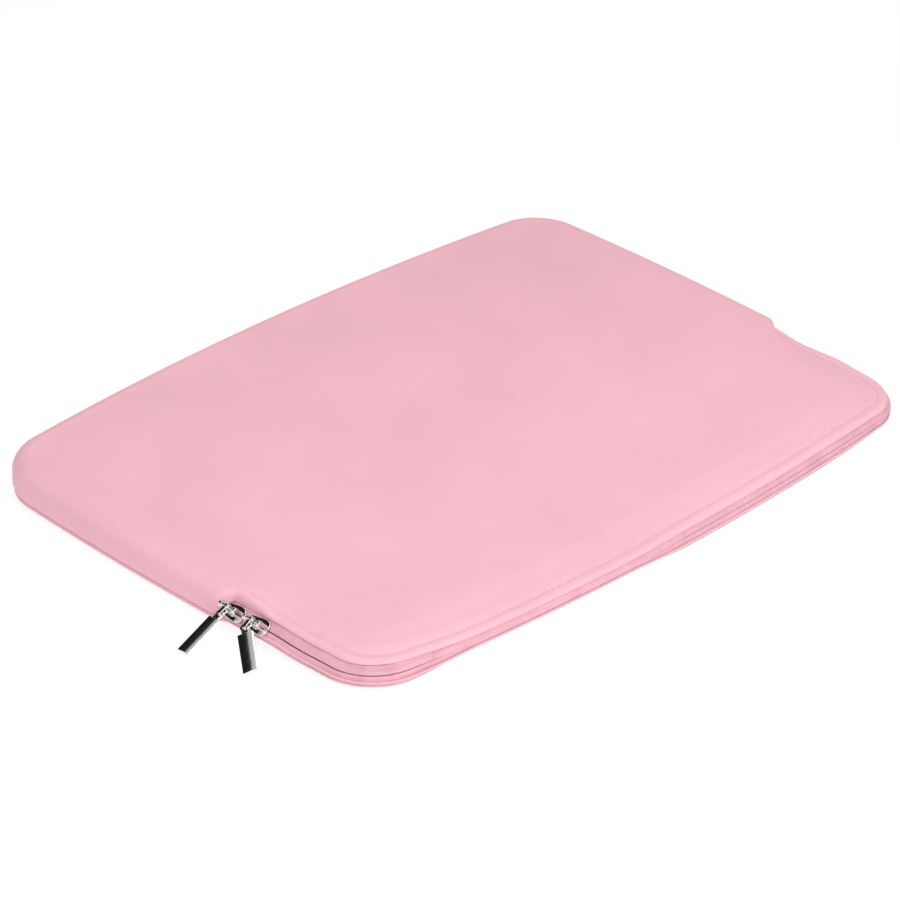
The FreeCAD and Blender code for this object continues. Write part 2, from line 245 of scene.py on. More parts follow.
def shell(name, outer, inner, material):
    """A closed layer of cloth, foam or lining between two sheets."""
    first = outer.verts()
    faces = outer.faces(0) + inner.faces(len(first))
    count = outer.count
    for k in range(count):
        following = (k + 1) % count
        faces.append((k, following, len(first) + following, len(first) + k))
    return new_mesh(name, np.concatenate([first, inner.verts()]), faces, material)


def resampled(points, count):
    """Evenly spaced points along a polyline of (inset, z) points."""
    points = np.array(points)
    steps = np.linalg.norm(np.diff(points, axis=0), axis=1)
    along = np.concatenate([[0], np.cumsum(steps)])
    wanted = np.linspace(0, along[-1], count)
    return np.stack([np.interp(wanted, along, points[:, i]) for i in (0, 1)], 1)


def raised(xy, z):
    """3D points from 2D ones and their heights."""
    return np.concatenate([xy, z[..., None]], -1)


def arc_points(centre, radius, start, end, count):
    angles = np.radians(np.linspace(start, end, count))
    return [(centre[0] + radius * math.cos(a), centre[1] + radius * math.sin(a)) for a in angles]


def circle(centre, radius, count):
    return arc_points(centre, radius, 0, 360, count + 1)[:-1]


# ---- how the zip's band lies ----
# Zones, which smooth() crosses from 0 to 1: AHEAD ones are measured forward from the sleeve's
# middle, and X ones to the right of it.
LIP_AHEAD = (1.0 - ZIP_END_Y, 6.5 - ZIP_END_Y)  # the closed side opens into the lip
GROOVE_AHEAD = (1.0 - ZIP_END_Y, 16.0 - ZIP_END_Y)  # the stitched groove deepens
THINNING_AHEAD = (34.0, 60.0)
TOP_SAG_AHEAD = (30.0, 70.0)
SAG_AHEAD = (62.0, 98.0)
FRONT_AHEAD = (98.0, 112.0)
RIGHT_NOSE_AHEAD = (45.0, 78.0)
CORNER_AHEAD = (88.0, 104.0)
CHAIN_CLOSES_AHEAD = (86.0, 104.0)
SHALLOW_GROOVE_X = (-125.0, -60.0)
NOSE_X = (-165.0, -105.0)
BLUNT_NOSE_X = (-25.0, 15.0)
RIGHT_NOSE_X = (110.0, 165.0)
RIGHT_SIDE_X = 130.0
FRONT_HEM_X = (-160.0, -110.0)
CORNER_X = (-150.0, -105.0)

TOP_SAG = 0.12                # share of its height that the top loses at the front
RIM_DROP = 1.8                # the padding thins towards the lip by this much
FRONT_HEM = 1.6               # the hem covers this much more of the tape along the front
SAG_OUT, SAG_DOWN = 0.2, 1.7
NOSE_OUT, NOSE_UP = 2.6, 0.5
NOSE_BLUNTED = 0.55           # share of the nose lost from the front's middle on
RIGHT_NOSE = 0.3              # and the share that comes back round the right corner
DIP_Y, DIP_WIDTH = -73.0, 11.0
DIP_OUT, DIP_DOWN = 0.35, 0.55
UPPER_NOSE_TURN = 10.0        # degrees that the band's upper and lower halves turn under
LOWER_NOSE_TURN = 78.0
LOWER_SAG_TURN = 8.0


def top_z(y):
    """Height of the top: it slopes from the spine and sinks a little more towards the zip."""
    slope = FRONT_HEIGHT + (SPINE_HEIGHT - FRONT_HEIGHT) * (y + HALF_Y) / (2 * HALF_Y)
    return slope * (1 - TOP_SAG * smooth(-np.asarray(y, float), *TOP_SAG_AHEAD))


class Band:
    """How the zip's band lies at each of some points of the outline.

    It lies flat in the sloping edge by the sliders, dips and sinks as it nears the front, and along
    the front its lower half turns under, so that the empty sleeve's edge becomes a blunt nose."""

    def __init__(self, points):
        x, y = points.T
        front = smooth(-y, *FRONT_AHEAD)
        self.share = smooth(-y, *LIP_AHEAD)
        self.fade = smooth(-y, *GROOVE_AHEAD) * (1 - 0.5 * smooth(x, *SHALLOW_GROOVE_X))
        sag = smooth(-y, *SAG_AHEAD)
        nose = smooth(x, *NOSE_X) * (1 - NOSE_BLUNTED * smooth(x, *BLUNT_NOSE_X))
        nose += RIGHT_NOSE * smooth(x, *RIGHT_NOSE_X)
        nose *= np.where(x > RIGHT_SIDE_X, smooth(-y, *RIGHT_NOSE_AHEAD), front)
        dip = bell(y, DIP_Y, DIP_WIDTH) * (x < 0)
        self.hem = TAPE_OUT - FRONT_HEM * (smooth(x, *FRONT_HEM_X) * front)
        self.inset = BAND_INSET - SAG_OUT * sag - NOSE_OUT * nose - DIP_OUT * dip
        self.z = BAND_Z - SAG_DOWN * sag - DIP_DOWN * dip + NOSE_UP * nose
        self.up_angle = BAND_NORMAL_UP - np.radians(UPPER_NOSE_TURN * nose)
        self.low_angle = BAND_NORMAL_UP - np.radians(LOWER_SAG_TURN * sag + LOWER_NOSE_TURN * nose)
        self.parted = TAPE_PARTED * (1 - smooth(-y, *CHAIN_CLOSES_AHEAD)) * (x < 0)
        corner = smooth(-y, *CORNER_AHEAD) * (1 - smooth(x, *CORNER_X))
        self.hollow = 0.3 + 0.7 * corner
        self.thinning = RIM_DROP * smooth(-y, *THINNING_AHEAD)
        self.top = top_z(y) - self.thinning

    def lip_face(self, k=slice(None)):
        """(inset, z) of the outermost line of the lip."""
        return self.at(self.hem[k] + LIP_FACE_UP, LIP_FACE_OUT, True, k)

    def at(self, w, s, upper=True, k=slice(None)):
        """(inset, z) of a point w up the band from the chain's centre and s out of it."""
        angle = (self.up_angle if upper else self.low_angle)[k]
        inset = self.inset[k] + w * np.sin(angle) - s * np.cos(angle)
        z = self.z[k] + w * np.cos(angle) + s * np.sin(angle)
        return inset, z


# ---- the padded top ----
WALL_ROWS = 16
EDGE_ROWS = 28
EDGE_REACH = 26.0             # inset of the last ring that follows the outline
FIELD_ROWS = 36
RIM_ZONE = (7.0, 25.0)        # inset over which the thinned padding comes back to its full height
TUCK = 1.7                    # how far the side seam is drawn in
HEM_SECTION = ((0.3, 0.04), (-0.1, 0.05), (-0.05, 0.26))  # up from the hem's edge, out
PADDING_IN = 0.5              # padding and lining stop this far inside the cover
GARAGE_SWELL = 1.7            # the closed side's cloth rolls outward over the zip's end
CROWN_LIFT = 0.9
CROWN_ZONE = (0.02, 0.5)      # shares of the way in from the edge, as the next two zones
LUMPS, LUMP_SIZE, LUMPS_ZONE = 0.6, 55.0, (0.05, 0.3)  # the top's soft unevenness
FINE_LUMPS, FINE_SIZE, FINE_ZONE = 0.1, 21.0, (0.04, 0.15)
VALLEY_X, VALLEY_SLANT, VALLEY_WIDTH, VALLEY_DEPTH = -146.0, 0.22, 9.0, 0.6
VALLEY_MIDDLE, VALLEY_FRONT, VALLEY_REAR = 60, (-25, 35), (85, 118)  # along Y
PUFF, PUFF_BEHIND, PUFF_WIDTH = 0.35, 4.5, 2.6  # the padding just behind the groove
PUCKER, PUCKER_WIDTH = 0.12, 4.0        # along the groove
SIDE_PUCKER = 0.08            # along the side seam
CREASE_AT = (-171.0, 104.0)
CREASE_DEPTH, CREASE_WIDTH = 0.4, 2.6


def closed_wall(top, drop):
    """A closed side, from the tucked seam up and over to the top."""
    middle = max(TUCK, drop + 0.2)
    points = arc_points((middle, SEAM_Z + TUCK), middle - drop, 270, 180, 7)
    points += arc_points((CLOSED_ROUND, top - CLOSED_ROUND), CLOSED_ROUND - drop, 180, 90, 12)
    return resampled(points, WALL_ROWS)


def lip_wall(band, k, drop):
    """The rolled lip above the zip: the cover is hemmed onto the tape, then goes up and over to the
    top, and the layers inside it end flat."""
    top = band.top[k]
    face = band.lip_face(k)
    over = face[0] + LIP_ROUND
    if drop > COVER:
        return resampled([(face[0] + COVER + PADDING_IN, top - drop), (over + 0.2, top - drop)],
                         WALL_ROWS)
    points = [band.at(band.hem[k] + up, out, True, k) for up, out in HEM_SECTION]
    if drop > 0:
        points = points[:1]
    for angle in np.radians(np.linspace(0, 90, 12)):
        points.append((over - (LIP_ROUND - drop) * math.cos(angle),
                       face[1] + (top - face[1] - drop) * math.sin(angle)))
    return resampled(points, WALL_ROWS)


def top_profile(band, k, drop):
    """(inset, z) up the wall and in to EDGE_REACH, for one place on the outline."""
    top = band.top[k]
    share = band.share[k]
    wall = closed_wall(top, drop) * (1 - share) + lip_wall(band, k, drop) * share
    swell = 4 * share * (1 - share) * np.linspace(1, 0, WALL_ROWS) * GARAGE_SWELL
    wall[:, 0] -= swell * math.cos(BAND_NORMAL_UP)
    wall[:, 1] += swell * math.sin(BAND_NORMAL_UP)
    return with_edge(wall, top - drop)


def with_edge(wall, level):
    """A wall's profile, carried on level from its end in to EDGE_REACH."""
    insets = np.linspace(wall[-1, 0], EDGE_REACH, EDGE_ROWS + 1)[1:]
    return np.concatenate([wall, np.stack([insets, np.full(EDGE_ROWS, level)], 1)])


def top_sheet(outline, drop):
    """A face of the top, drop below its outside."""
    rings, insets, band = edge_rings(outline, top_profile, drop)
    scales = np.linspace(1, 0, FIELD_ROWS + 1)[1:-1, None, None]
    inner_rings = rings[-1][None] * scales
    rings = np.concatenate([rings, inner_rings])
    insets = np.concatenate([insets, np.full((FIELD_ROWS - 1, outline.count), 2 * EDGE_REACH)])
    inner = slice(WALL_ROWS, None)
    thinning = band.thinning * (1 - smooth(insets[inner], *RIM_ZONE))
    rings[inner, :, 2] = top_z(rings[inner, :, 1]) - thinning - drop
    groove = band.lip_face()[0] + GROOVE_BEHIND
    pad_rings(rings, insets, band, groove, outline)
    middle = np.array([0.0, 0.0, top_z(0.0) - drop])
    middle[2] += slack(middle[None])[0]
    return Sheet(rings, middle)


def slack(points):
    """How far the padded top stands above its plain slope: a low crown, soft unevenness and a
    shallow valley along the left side where the empty sleeve slackens."""
    x, y = points[:, 0], points[:, 1]
    reach = 1 - np.maximum(np.abs(x) / HALF_X, np.abs(y) / HALF_Y)
    soft = field(points * [1, 1, 0], LUMP_SIZE, 1)
    fine = field(points * [1, 1, 0], FINE_SIZE, 5)
    valley = bell(x + VALLEY_SLANT * (y - VALLEY_MIDDLE), VALLEY_X, VALLEY_WIDTH)
    valley *= smooth(y, *VALLEY_FRONT) * (1 - smooth(y, *VALLEY_REAR))
    up = CROWN_LIFT * smooth(reach, *CROWN_ZONE) + LUMPS * soft * smooth(reach, *LUMPS_ZONE)
    return up + FINE_LUMPS * fine * smooth(reach, *FINE_ZONE) - VALLEY_DEPTH * valley


def pad_rings(rings, insets, band, groove, outline):
    """Raises the padding, and draws in the stitched groove, the puckers and the crease."""
    shape = rings.shape[:2]
    up = slack(rings.reshape(-1, 3)).reshape(shape)
    fade = band.fade[None, :]
    up -= GROOVE_DEPTH * bell(insets, groove, GROOVE_WIDTH) * fade
    up += PUFF * bell(insets, groove + PUFF_BEHIND, PUFF_WIDTH) * fade
    path = np.stack([outline.u, 0 * outline.u, 0 * outline.u], 1)
    wobble = field(path, 25.0, 2)[None, :]
    pucker = np.sin(2 * math.pi * (outline.u[None, :] / PUCKER_PITCH + 0.35 * wobble))
    up += PUCKER * pucker * bell(insets, groove, PUCKER_WIDTH) * fade * (0.6 + 0.8 * wobble)
    wall = np.arange(len(rings))[:, None] < WALL_ROWS
    low = smooth(-rings[:, :, 2], -11.0, -5.0) * wall * (1 - band.share)[None, :]
    side = SIDE_PUCKER * pucker * low - CREASE_DEPTH * corner_crease(outline)[None, :] * wall
    rings[:, :, :2] += side[:, :, None] * outline.normals[None]
    rings[:, :, 2] += up


def corner_crease(outline):
    """The cloth gathers into one short, shallow crease at the left end of the spine."""
    x, y = outline.points.T
    place = np.argmin(np.hypot(x - CREASE_AT[0], y - CREASE_AT[1]))
    return bell(outline.u, outline.u[place], CREASE_WIDTH)


# ---- the padded bottom ----
FOOT_ROUND = 1.2
CLOSED_FOOT_IN = 0.7          # the closed sides' padding hangs out over the bottom by this much
LOW_LIP_FACE = (-3.2, 0.85)   # the lower lip's outermost line, up the band and out of it
LOW_LIP_ROUND = 3.8
LOW_LIP_BLEND = 1.4           # 2 would be an ellipse, 1 a straight chamfer
LOW_HEM_SECTION = ((-1.0, 0.04), (0.0, 0.06), (0.0, 0.35))  # up from the lower hem's edge, out
LOW_HEM_UP = 0.55             # that edge, from the lip's outermost line
BOTTOM_WALL_ROWS = 14
BOTTOM_FIELD_ROWS = 15
BOTTOM_PAD_ROW = BOTTOM_WALL_ROWS + 6   # the ring where foam and lining start
BOTTOM_GROOVE_INSET, BOTTOM_GROOVE, BOTTOM_GROOVE_WIDTH = 9.5, 0.45, 0.9
BOTTOM_PUCKER = 0.06


def bottom_profile(band, k, lift):
    """(inset, z) down the wall and in, for the face that lies lift above the outside."""
    share = band.share[k]
    closed = arc_points((FOOT_ROUND + CLOSED_FOOT_IN, FOOT_ROUND), FOOT_ROUND - lift, 90, 270, 13)
    face = band.at(*LOW_LIP_FACE, False, k)
    over = face[0] + LOW_LIP_ROUND
    edge = LOW_LIP_FACE[0] + LOW_HEM_UP
    lip = [band.at(edge + up, out, False, k) for up, out in LOW_HEM_SECTION]
    if lift > 0:
        lip = lip[:1]
    height = max(face[1], lift + 0.3)
    for angle in np.radians(np.linspace(0, 90, 10)):
        reach = math.cos(angle) ** (2 / LOW_LIP_BLEND)
        fall = math.sin(angle) ** (2 / LOW_LIP_BLEND)
        lip.append((over - (LOW_LIP_ROUND - lift) * reach, height - (height - lift) * fall))
    wall = resampled(closed, BOTTOM_WALL_ROWS) * (1 - share)
    wall += resampled(lip, BOTTOM_WALL_ROWS) * share
    return with_edge(wall, lift)


def bottom_sheet(outline, lift):
    """A face of the bottom, lift above its outside; its rings run down from the rim and in."""
    rings, insets, band = edge_rings(outline, bottom_profile, min(lift, BOTTOM_COVER))
    rings[:, :, 2] += max(lift - BOTTOM_COVER, 0.0)
    rings[:, :, 2] += BOTTOM_GROOVE * bell(insets, BOTTOM_GROOVE_INSET, BOTTOM_GROOVE_WIDTH)
    pucker = np.sin(2 * math.pi * outline.u[None, :] / PUCKER_PITCH + 1.1)
    high = smooth(rings[:, :, 2], 0.8, 2.0) * (1 - band.share) * (insets < FOOT_ROUND)
    rings[:, :, :2] += (BOTTOM_PUCKER * pucker * high)[:, :, None] * outline.normals[None]
    scales = np.linspace(1, 0, BOTTOM_FIELD_ROWS + 1)[1:-1, None, None]
    inner_rings = rings[-1][None] * scales + UP * lift * (1 - scales)
    return Sheet(np.concatenate([rings, inner_rings]), UP * lift)


# ---- strips that run along the zip ----
TAPE_RIDGE = (0.28, 1.35, 0.75)         # a swelling of the tape: height, place up the band, width
UPPER_HOLLOW = (0.42, 3.2, 0.9)         # and a hollow beyond it
LOWER_HOLLOW = (0.42, 2.4, 0.9)
PARTED_ZONE = (0.6, 2.4)      # where a tape whose edge is parted comes back to its place
COIL_TURN_POINTS = 10
COIL_RING = 6
BINDING = 0.45                # thickness of the seam binding
BINDING_START = (TAPE_OUT - 0.05, -TAPE - 0.12)  # on the band, up and out
BINDING_MIDDLE = (TAPE_OUT + 1.3, -1.35)
BINDING_BELLY = 0.3
BINDING_REACH = 2.6           # from its middle to its edge on the lining
BINDING_GAP = 0.35
STITCH_STAND = 0.08           # the thread's middle above the groove's floor


class ZipRun:
    """Evenly spaced places along the zip, from its left end round the front to its right end."""

    def __init__(self, spacing, shorten=0.0):
        radius, start_angle = RIM.arcs[0][1:3]
        lean = math.asin((ZIP_END_Y - shorten) / radius)
        right_end = RIM.total + (lean - start_angle) * radius
        left_end = RIM.total / 2 + (-lean - start_angle) * radius
        self.count = int(round((right_end - left_end) / spacing)) + 1
        self.u = np.linspace(left_end, right_end, self.count)
        self.points, self.normals = RIM.at(self.u)
        self.band = Band(self.points)

    def place(self, w, s, upper=True):
        """Points at w, s on the band, for one pair or for arrays as long as the run."""
        inset, z = self.band.at(w, s, upper)
        return raised(self.inside(inset), z)

    def inside(self, inset):
        return self.points - inset[:, None] * self.normals


def tube(name, rows, material, uv=None):
    """A closed strip or tube from rows of points along its length, capped at both ends."""
    count = len(rows[0])
    faces = grid_faces(len(rows), count, round_rows=True)
    faces.append([r * count for r in range(len(rows))])
    faces.append([r * count + count - 1 for r in reversed(range(len(rows)))])
    return new_mesh(name, np.concatenate(rows), faces, material, uv)


def tape(name, run, upper):
    """Zip tape: a raised edge over the coil, flat to its outer edge."""
    sign = 1 if upper else -1
    hollow = UPPER_HOLLOW if upper else LOWER_HOLLOW
    outer = [(TAPE_IN + 0.1, -0.12), (TAPE_IN + 0.35, 0.02)]
    outer += [(w, 0.0) for w in (0.9, 1.3, 1.7, 2.1, 2.5, 2.9, 3.3, 3.7, 4.1, TAPE_OUT)]
    inner = [(w, -TAPE) for w in (TAPE_OUT, 3.7, 3.1, 2.4, 1.7, 1.0, TAPE_IN + 0.3)]
    rows = []
    uv = []
    for w, s in outer + inner + [(TAPE_IN, -TAPE / 2)]:
        parted = w + run.band.parted * (1 - smooth(w, *PARTED_ZONE))
        wave = TAPE_RIDGE[0] * bell(w, *TAPE_RIDGE[1:]) - hollow[0] * bell(w, *hollow[1:])
        rows.append(run.place(sign * parted, s + wave * run.band.hollow, upper))
        uv.append(np.stack([run.u, np.full(run.count, sign * w)], 1))
    return tube(name, rows, TAPE_WEAVE, np.concatenate(uv))


def coil(name, upper):
    """A row of the chain: one long monofilament coil, sewn under the tape's edge."""
    sign = 1 if upper else -1
    run = ZipRun(COIL_PITCH / COIL_TURN_POINTS, 1.5)
    phase = 2 * math.pi * (run.u - run.u[0]) / COIL_PITCH + (0 if upper else math.pi)
    w = COIL_W + run.band.parted + COIL_HALF_WIDTH * np.cos(phase)
    centre = run.place(sign * w, COIL_S + COIL_HALF_DEPTH * np.sin(phase), upper)
    hub = run.place(sign * (COIL_W + run.band.parted), COIL_S, upper)
    ahead = np.gradient(centre, axis=0)
    ahead /= np.linalg.norm(ahead, axis=1, keepdims=True)
    out = centre - hub
    out -= ahead * np.sum(out * ahead, 1, keepdims=True)
    out /= np.linalg.norm(out, axis=1, keepdims=True)
    side = np.cross(ahead, out)
    rows = []
    for angle in np.linspace(0, 2 * math.pi, COIL_RING, endpoint=False):
        rows.append(centre + COIL_WIRE * (out * math.cos(angle) + side * math.sin(angle)))
    return tube(name, rows, NYLON)


def stitch_row(name, places, along, material, length=2.2, radius=0.2, ring=6):
    """Short thread stitches, each a flattened capsule lying along a level seam."""
    verts = []
    faces = []
    stations = [(-0.5, 0.1), (-0.42, 0.75), (-0.2, 1.0), (0.2, 1.0), (0.42, 0.75), (0.5, 0.1)]
    for p, t in zip(places, along):
        side = np.cross(UP, t)
        base = len(verts)
        for share, girth in stations:
            dip = radius * 1.2 * (2 * share) ** 2
            for i in range(ring):
                angle = 2 * math.pi * i / ring
                reach = side * math.cos(angle) + UP * math.sin(angle) * 0.8
                verts.append(p + t * share * length - UP * dip + reach * radius * girth)
        faces += grid_faces(len(stations), ring, base, round_columns=True)
        faces.append([base + i for i in range(ring)])
        faces.append([base + (len(stations) - 1) * ring + i for i in reversed(range(ring))])
    return new_mesh(name, verts, faces, material)


# ---- materials ----
class Shader:
    """A small helper round one material's node tree."""

    def __init__(self, name):
        self.material = bpy.data.materials.new(name)
        self.material.use_nodes = True
        self.tree = self.material.node_tree
        self.inputs = self.tree.nodes["Principled BSDF"].inputs

    def node(self, kind, inputs=None, **settings):
        """A new node, its inputs set to values or linked to other nodes' outputs."""
        made = self.tree.nodes.new("ShaderNode" + kind)
        for key, value in settings.items():
            setattr(made, key, value)
        for key, value in (inputs or {}).items():
            self.feed(value, made.inputs[key])
        return made

    def feed(self, value, socket):
        if isinstance(value, (int, float, tuple)):
            socket.default_value = value
        else:
            self.tree.links.new(value, socket)

    def math(self, operation, a, b=0.0):
        return self.node("Math", {0: a, 1: b}, operation=operation).outputs[0]

    def plus(self, a, b):
        return self.math("ADD", a, b)

    def times(self, a, b):
        return self.math("MULTIPLY", a, b)

    def place(self, kind="Object"):
        return self.node("TexCoord").outputs[kind]

    def parts(self, vector):
        return self.node("SeparateXYZ", {0: vector}).outputs

    def noise(self, vector, scale, detail=3.0, roughness=0.55):
        return self.node("TexNoise", {"Vector": vector, "Scale": scale, "Detail": detail,
                                      "Roughness": roughness}).outputs["Fac"]

    def ramp(self, factor, stops):
        made = self.node("ValToRGB", {0: factor})
        ramp = made.color_ramp
        for i, (place, colour) in enumerate(stops):
            spot = ramp.elements[i] if i < 2 else ramp.elements.new(place)
            spot.position = place
            spot.color = (*colour, 1)
        return made.outputs[0]

    def bump(self, height, distance, strength, onto=None):
        made = self.node("Bump", {"Height": height, "Distance": distance, "Strength": strength})
        if onto is not None:
            self.feed(onto, made.inputs["Normal"])
        return made.outputs[0]

    def colour(self, factor, stops, target="Base Color"):
        self.feed(self.ramp(factor, stops), self.inputs[target])

    def normal(self, bump):
        self.feed(bump, self.inputs["Normal"])

    def set(self, **values):
        for key, value in values.items():
            self.feed(value, self.inputs[key.replace("_", " ").title().replace("Ior", "IOR")])


def chevrons(shader, across, along, column, row):
    """Height of a knit or herringbone: columns whose rows run up on one side and down on the other."""
    place = shader.math("DIVIDE", across, column)
    slope = shader.math("PINGPONG", place, 0.5)
    rows = shader.plus(shader.math("DIVIDE", along, row), slope)
    wave = shader.math("SINE", shader.times(rows, 2 * math.pi))
    rib = shader.math("SINE", shader.times(slope, 2 * math.pi))
    return shader.plus(shader.times(wave, 0.5), rib)


def shaded(colour, factor):
    return tuple(c * factor for c in colour)


PINK = (0.870, 0.470, 0.548)
PLUSH_PINK = (0.80, 0.42, 0.50)
# Zip tape pink: the cloth's pink darkened by about an eighth. The darkening is painted shade for the
# zip's band, which faces away from the light by the left corner. The seam binding and the coil use
# this colour too.
SHADED_TAPE_PINK = (0.765, 0.40, 0.48)
SHEEN_TINT = (1.0, 0.85, 0.9, 1.0)


def knit_cloth(name, colour, pitch=0.0008):
    """Smooth knit face cloth on foam: fine stitch columns, soft sheen, slight colour drift."""
    s = Shader(name)
    vector = s.place()
    x, y, z = s.parts(vector)
    drift = s.noise(vector, 22.0)
    grain = s.noise(vector, 2600.0, 2.0)
    mixed = s.plus(s.times(drift, 0.7), s.times(grain, 0.3))
    s.colour(mixed, [(0.3, shaded(colour, 0.95)), (0.7, shaded(colour, 1.03))])
    facing = s.parts(s.node("NewGeometry").outputs["True Normal"])
    knit = 0.0
    for across, along, axis in ((x, y, 2), (y, z, 0), (x, z, 1)):
        pattern = chevrons(s, across, along, pitch, pitch * 0.8)
        knit = s.plus(knit, s.times(pattern, s.math("ABSOLUTE", facing[axis])))
    fine = s.bump(knit, 0.00004, 0.6)
    soft = s.bump(s.noise(vector, 160.0), 0.00012, 0.5, fine)
    s.normal(soft)
    s.set(roughness=0.82, specular_ior_level=0.25, sheen_weight=0.35, sheen_roughness=0.45,
          sheen_tint=SHEEN_TINT)
    return s.material


def plush_cloth(name, colour):
    """Short-pile lining: matted tufts, strong sheen."""
    s = Shader(name)
    vector = s.place()
    pile = s.noise(vector, 900.0, 4.0, 0.7)
    nap = s.noise(vector, 45.0)
    both = s.plus(s.times(pile, 0.6), s.times(nap, 0.4))
    s.colour(both, [(0.3, shaded(colour, 0.8)), (0.7, shaded(colour, 1.08))])
    s.normal(s.bump(pile, 0.0005, 0.8, s.bump(nap, 0.0008, 0.5)))
    s.set(roughness=0.95, specular_ior_level=0.1, sheen_weight=0.8, sheen_roughness=0.35,
          sheen_tint=SHEEN_TINT)
    return s.material


def padding_foam(name):
    """Open-cell foam sheet."""
    s = Shader(name)
    cells = s.node("TexVoronoi", {"Vector": s.place(), "Scale": 1500.0}).outputs["Distance"]
    s.colour(cells, [(0.1, (0.62, 0.60, 0.56)), (0.6, (0.84, 0.82, 0.78))])
    s.normal(s.bump(cells, 0.0003, 0.8))
    s.set(roughness=0.95, specular_ior_level=0.2)
    return s.material


def woven_tape(name, colour):
    """Zip tape in a herringbone weave; its UV runs along and across the tape in metres."""
    s = Shader(name)
    vector = s.place("UV")
    along, across = s.parts(vector)[:2]
    weave = chevrons(s, across, along, 0.0016, 0.00055)
    drift = s.noise(vector, 90.0)
    tone = s.plus(s.times(weave, 0.12), drift)
    s.colour(tone, [(0.3, shaded(colour, 0.85)), (0.75, shaded(colour, 1.08))])
    s.normal(s.bump(weave, 0.00008, 0.9))
    s.set(roughness=0.75, specular_ior_level=0.3, sheen_weight=0.25, sheen_roughness=0.4)
    return s.material


def spun_thread(name, colour):
    """Twisted polyester sewing thread."""
    s = Shader(name)
    x, y, z = s.parts(s.place())
    twist = s.math("SINE", s.times(s.plus(s.plus(x, y), z), 9000.0))
    s.colour(twist, [(0.0, shaded(colour, 0.85)), (1.0, shaded(colour, 1.05))])
    s.normal(s.bump(twist, 0.00005, 0.7))
    s.set(roughness=0.55, specular_ior_level=0.4, sheen_weight=0.2)
    return s.material


def nylon(name, colour):
    """The coil's monofilament: smooth, slightly translucent plastic."""
    s = Shader(name)
    vector = s.place()
    tone = s.noise(vector, 300.0, 2.0)
    s.colour(tone, [(0.3, shaded(colour, 0.92)), (0.7, shaded(colour, 1.05))])
    s.colour(tone, [(0.3, (0.28,) * 3), (0.7, (0.4,) * 3)], "Roughness")
    s.set(specular_ior_level=0.5)
    return s.material


def chrome(name):
    """Polished plated zinc, with faint hairline scratches and a slightly uneven polish."""
    s = Shader(name)
    vector = s.place()
    stretch = s.node("Mapping", {"Vector": vector, "Scale": (1.0, 1.0, 9.0)})
    hairs = s.noise(stretch.outputs[0], 1900.0, 5.0, 0.7)
    smudge = s.noise(vector, 240.0)
    s.colour(smudge, [(0.3, (0.80, 0.79, 0.78)), (0.75, (0.88, 0.87, 0.86))])
    s.colour(hairs, [(0.35, (0.07,) * 3), (0.8, (0.17,) * 3)], "Roughness")
    s.normal(s.bump(s.noise(vector, 420.0, 2.0), 0.00003, 0.5))
    s.set(metallic=1.0)
    return s.material


CLOTH = knit_cloth("pink_knit", PINK)
PLUSH = plush_cloth("plush_lining", PLUSH_PINK)
FOAM_SHEET = padding_foam("foam_sheet")
TAPE_WEAVE = woven_tape("zip_tape_weave", SHADED_TAPE_PINK)
BINDING_WEAVE = knit_cloth("binding_ribbon", SHADED_TAPE_PINK, 0.0006)
THREAD = spun_thread("sewing_thread", shaded(PINK, 0.93))
NYLON = nylon("coil_nylon", SHADED_TAPE_PINK)
CHROME = chrome("polished_chrome")


def across_fold(piece):
    """Cloth that belongs to the sleeve behind the fold and to the flap in front of it; this only bakes
    its transform into its mesh and gives it to no body.
    """
    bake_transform(piece)


def finish_piece(piece, nodes, body=None):
    """Gives a piece its body and hides the nodes it replaces; with no body it lies across the fold and
    its transform is baked in.
    """
    if body is None:
        across_fold(piece)
    else:
        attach(piece, body)
    if nodes:
        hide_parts(*nodes)
    return piece


def top_layer(name, outline, depth, thickness, material, nodes):
    piece = shell(name, top_sheet(outline, depth), top_sheet(outline, depth + thickness), material)
    finish_piece(piece, nodes)


def bottom_layer(name, outline, lift, thickness, first_row, material, nodes):
    """A layer of the bottom from ring first_row inward; tucked rows go down past the foam's edge."""
    faces = []
    tucked = max(BOTTOM_PAD_ROW - first_row, 0) if first_row else 0
    for height in (lift, lift + thickness):
        sheet = bottom_sheet(outline, height)
        rings = sheet.rings[first_row:]
        rings[:tucked, :, 2] -= FOAM * 0.98
        faces.append(Sheet(rings, sheet.middle))
    piece = finish_piece(shell(name, *faces, material), nodes, "sleeve")


def make_cloth():
    top_layer("top_cover", RIM, 0.0, COVER, CLOTH,
              ["top_cover_rear", "flap_cover"])
    top_layer("top_padding", COARSE, COVER + LAYER_GAP, FOAM, FOAM_SHEET,
              ["top_foam_rear", "flap_foam"])
    top_layer("top_lining", COARSE, COVER + FOAM + 2 * LAYER_GAP, LINING, PLUSH,
              ["top_lining_rear", "flap_lining"])
    bottom_layer("bottom_shell", RIM, 0.0, BOTTOM_COVER, 0, CLOTH,
                 ["bottom_cover"])
    bottom_layer("bottom_padding", COARSE, BOTTOM_COVER + LAYER_GAP, FOAM, BOTTOM_PAD_ROW,
                 FOAM_SHEET, ["bottom_foam"])
    bottom_layer("bottom_plush", COARSE, BOTTOM_COVER + FOAM + 2 * LAYER_GAP, LINING,
                 BOTTOM_PAD_ROW - 2, PLUSH, ["bottom_lining"])


def make_zip():
    run = ZipRun(1.3, 0.05)
    finish_piece(tape("upper_zip_tape", run, True),
                 ["zip_tape_upper_left", "zip_tape_upper_right", "flap_zip_tape"])
    finish_piece(tape("lower_zip_tape", run, False), ["zip_tape_lower"], "sleeve")
    finish_piece(coil("upper_coil", True),
                 ["zip_coil_upper_left", "zip_coil_upper_right", "flap_zip_coil"])
    finish_piece(coil("lower_coil", False), ["zip_coil_lower"], "sleeve")


